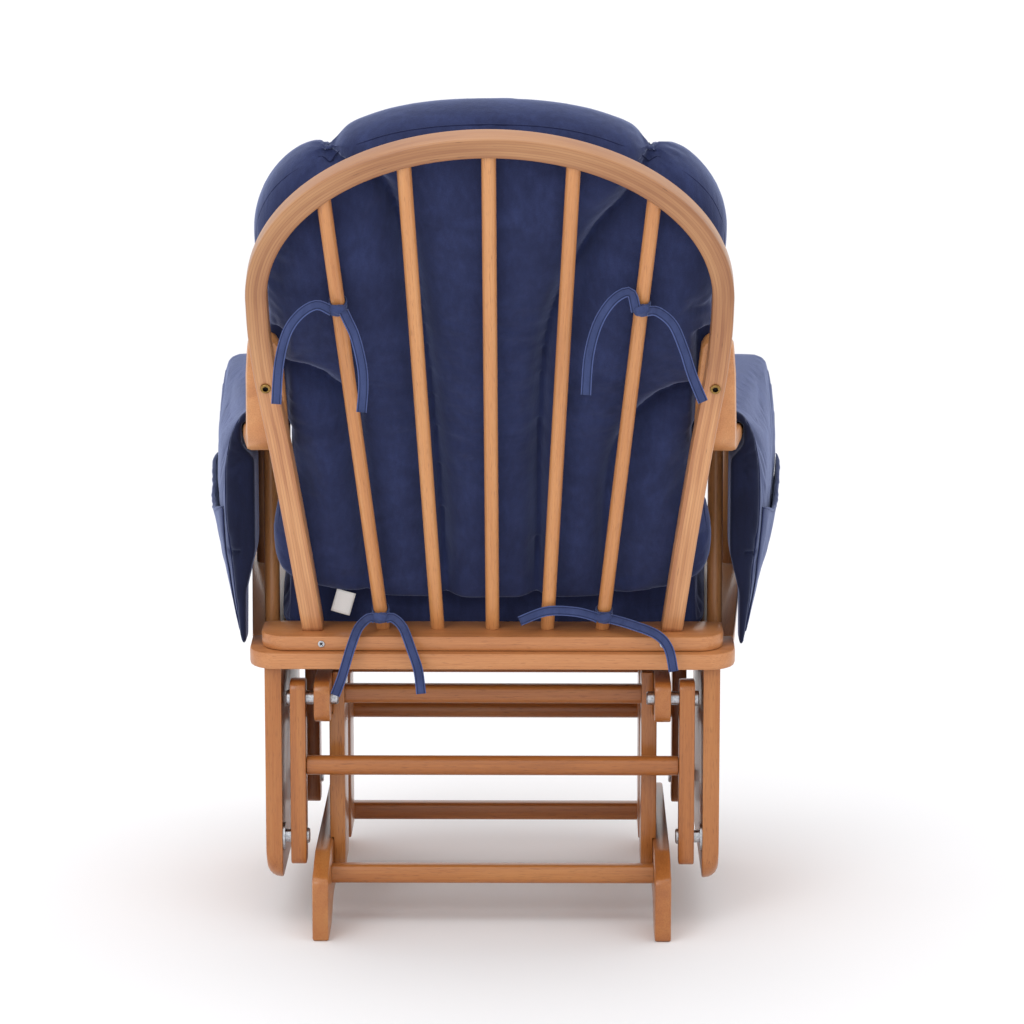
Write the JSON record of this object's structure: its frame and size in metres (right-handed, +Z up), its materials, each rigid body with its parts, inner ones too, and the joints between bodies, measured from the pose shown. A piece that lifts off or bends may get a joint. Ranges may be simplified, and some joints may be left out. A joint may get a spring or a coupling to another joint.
{
  "type": "glider nursery chair",
  "caption": "Hoop-back nursery glider: sled base with four hanging swing arms, solid side panels, spindle back, bent arms, padded seat, back and arm covers.",
  "frame": {"origin": "floor level, middle of the chair's footprint box", "axes": "+Z up, the sitter faces -Y, +X is the side called left in node names (seen from the front it is on the viewer's right)"},
  "size_m": [0.7038, 0.7534, 0.9951],
  "materials": {
    "honey_wood": "satin lacquer",
    "navy_fabric": "brushed microfibre",
    "steel": "zinc plated",
    "brass": "satin",
    "label_cloth": "woven tape"
  },
  "bodies": {
    "base": {"floor_stretcher_front": "honey_wood", "floor_stretcher_rear": "honey_wood", "runner_left": "honey_wood", "runner_right": "honey_wood", "top_rail_left": "honey_wood", "top_rail_right": "honey_wood", "upper_pivot_front_left": "steel", "upper_pivot_front_right": "steel", "upper_pivot_rear_left": "steel", "upper_pivot_rear_right": "steel", "upper_stretcher_front": "honey_wood", "upper_stretcher_rear": "honey_wood", "upright_front_left": "honey_wood", "upright_front_right": "honey_wood", "upright_rear_left": "honey_wood", "upright_rear_right": "honey_wood"},
    "rear_swing": {"swing_arm_rear_left": "honey_wood", "swing_arm_rear_right": "honey_wood", "swing_bar_rear": "honey_wood"},
    "front_swing": {"swing_arm_front_left": "honey_wood", "swing_arm_front_right": "honey_wood", "swing_bar_front": "honey_wood"},
    "seat": {"arm_left": "honey_wood", "arm_pad_left": "navy_fabric", "arm_pad_right": "navy_fabric", "arm_right": "honey_wood", "back_cushion": "navy_fabric", "back_rail": "honey_wood", "care_label": "label_cloth", "front_post_left": "honey_wood", "front_post_right": "honey_wood", "hoop": "honey_wood", "hoop_bolt_left": "brass", "hoop_bolt_right": "brass", "lower_pivot_front_left": "steel", "lower_pivot_front_right": "steel", "lower_pivot_rear_left": "steel", "lower_pivot_rear_right": "steel", "rail_screw_left": "steel", "rail_screw_right": "steel", "rear_post_left": "honey_wood", "rear_post_right": "honey_wood", "seat_cushion": "navy_fabric", "seat_front_board": "honey_wood", "seat_rear_board": "honey_wood", "seat_side_board_left": "honey_wood", "seat_side_board_right": "honey_wood", "seat_slat_1": "honey_wood", "seat_slat_2": "honey_wood", "side_panel_left": "honey_wood", "side_panel_right": "honey_wood", "spindle_1": "honey_wood", "spindle_2": "honey_wood", "spindle_3": "honey_wood", "spindle_4": "honey_wood", "spindle_5": "honey_wood", "tie_lower_left": "navy_fabric", "tie_lower_right": "navy_fabric", "tie_upper_left": "navy_fabric", "tie_upper_right": "navy_fabric"}
  },
  "joints": [
    {"name": "rear_swing_hinge", "type": "hinge", "parent": "base", "child": "rear_swing", "pos_m": [0, 0.09289, 0.271], "axis": [1, 0, 0], "range_deg": [-12, 12]},
    {"name": "seat_hinge", "type": "hinge", "parent": "rear_swing", "child": "seat", "pos_m": [0, 0.09289, 0.105], "axis": [1, 0, 0], "range_deg": [-12, 12]},
    {"name": "front_swing_hinge", "type": "hinge", "parent": "base", "child": "front_swing", "pos_m": [0, -0.20711, 0.271], "axis": [1, 0, 0], "range_deg": [-12, 12]}
  ],
  "couplings": [
    {"joint": "seat_hinge", "follows": "rear_swing_hinge", "ratio": -1},
    {"joint": "front_swing_hinge", "follows": "rear_swing_hinge", "ratio": 1}
  ]
}
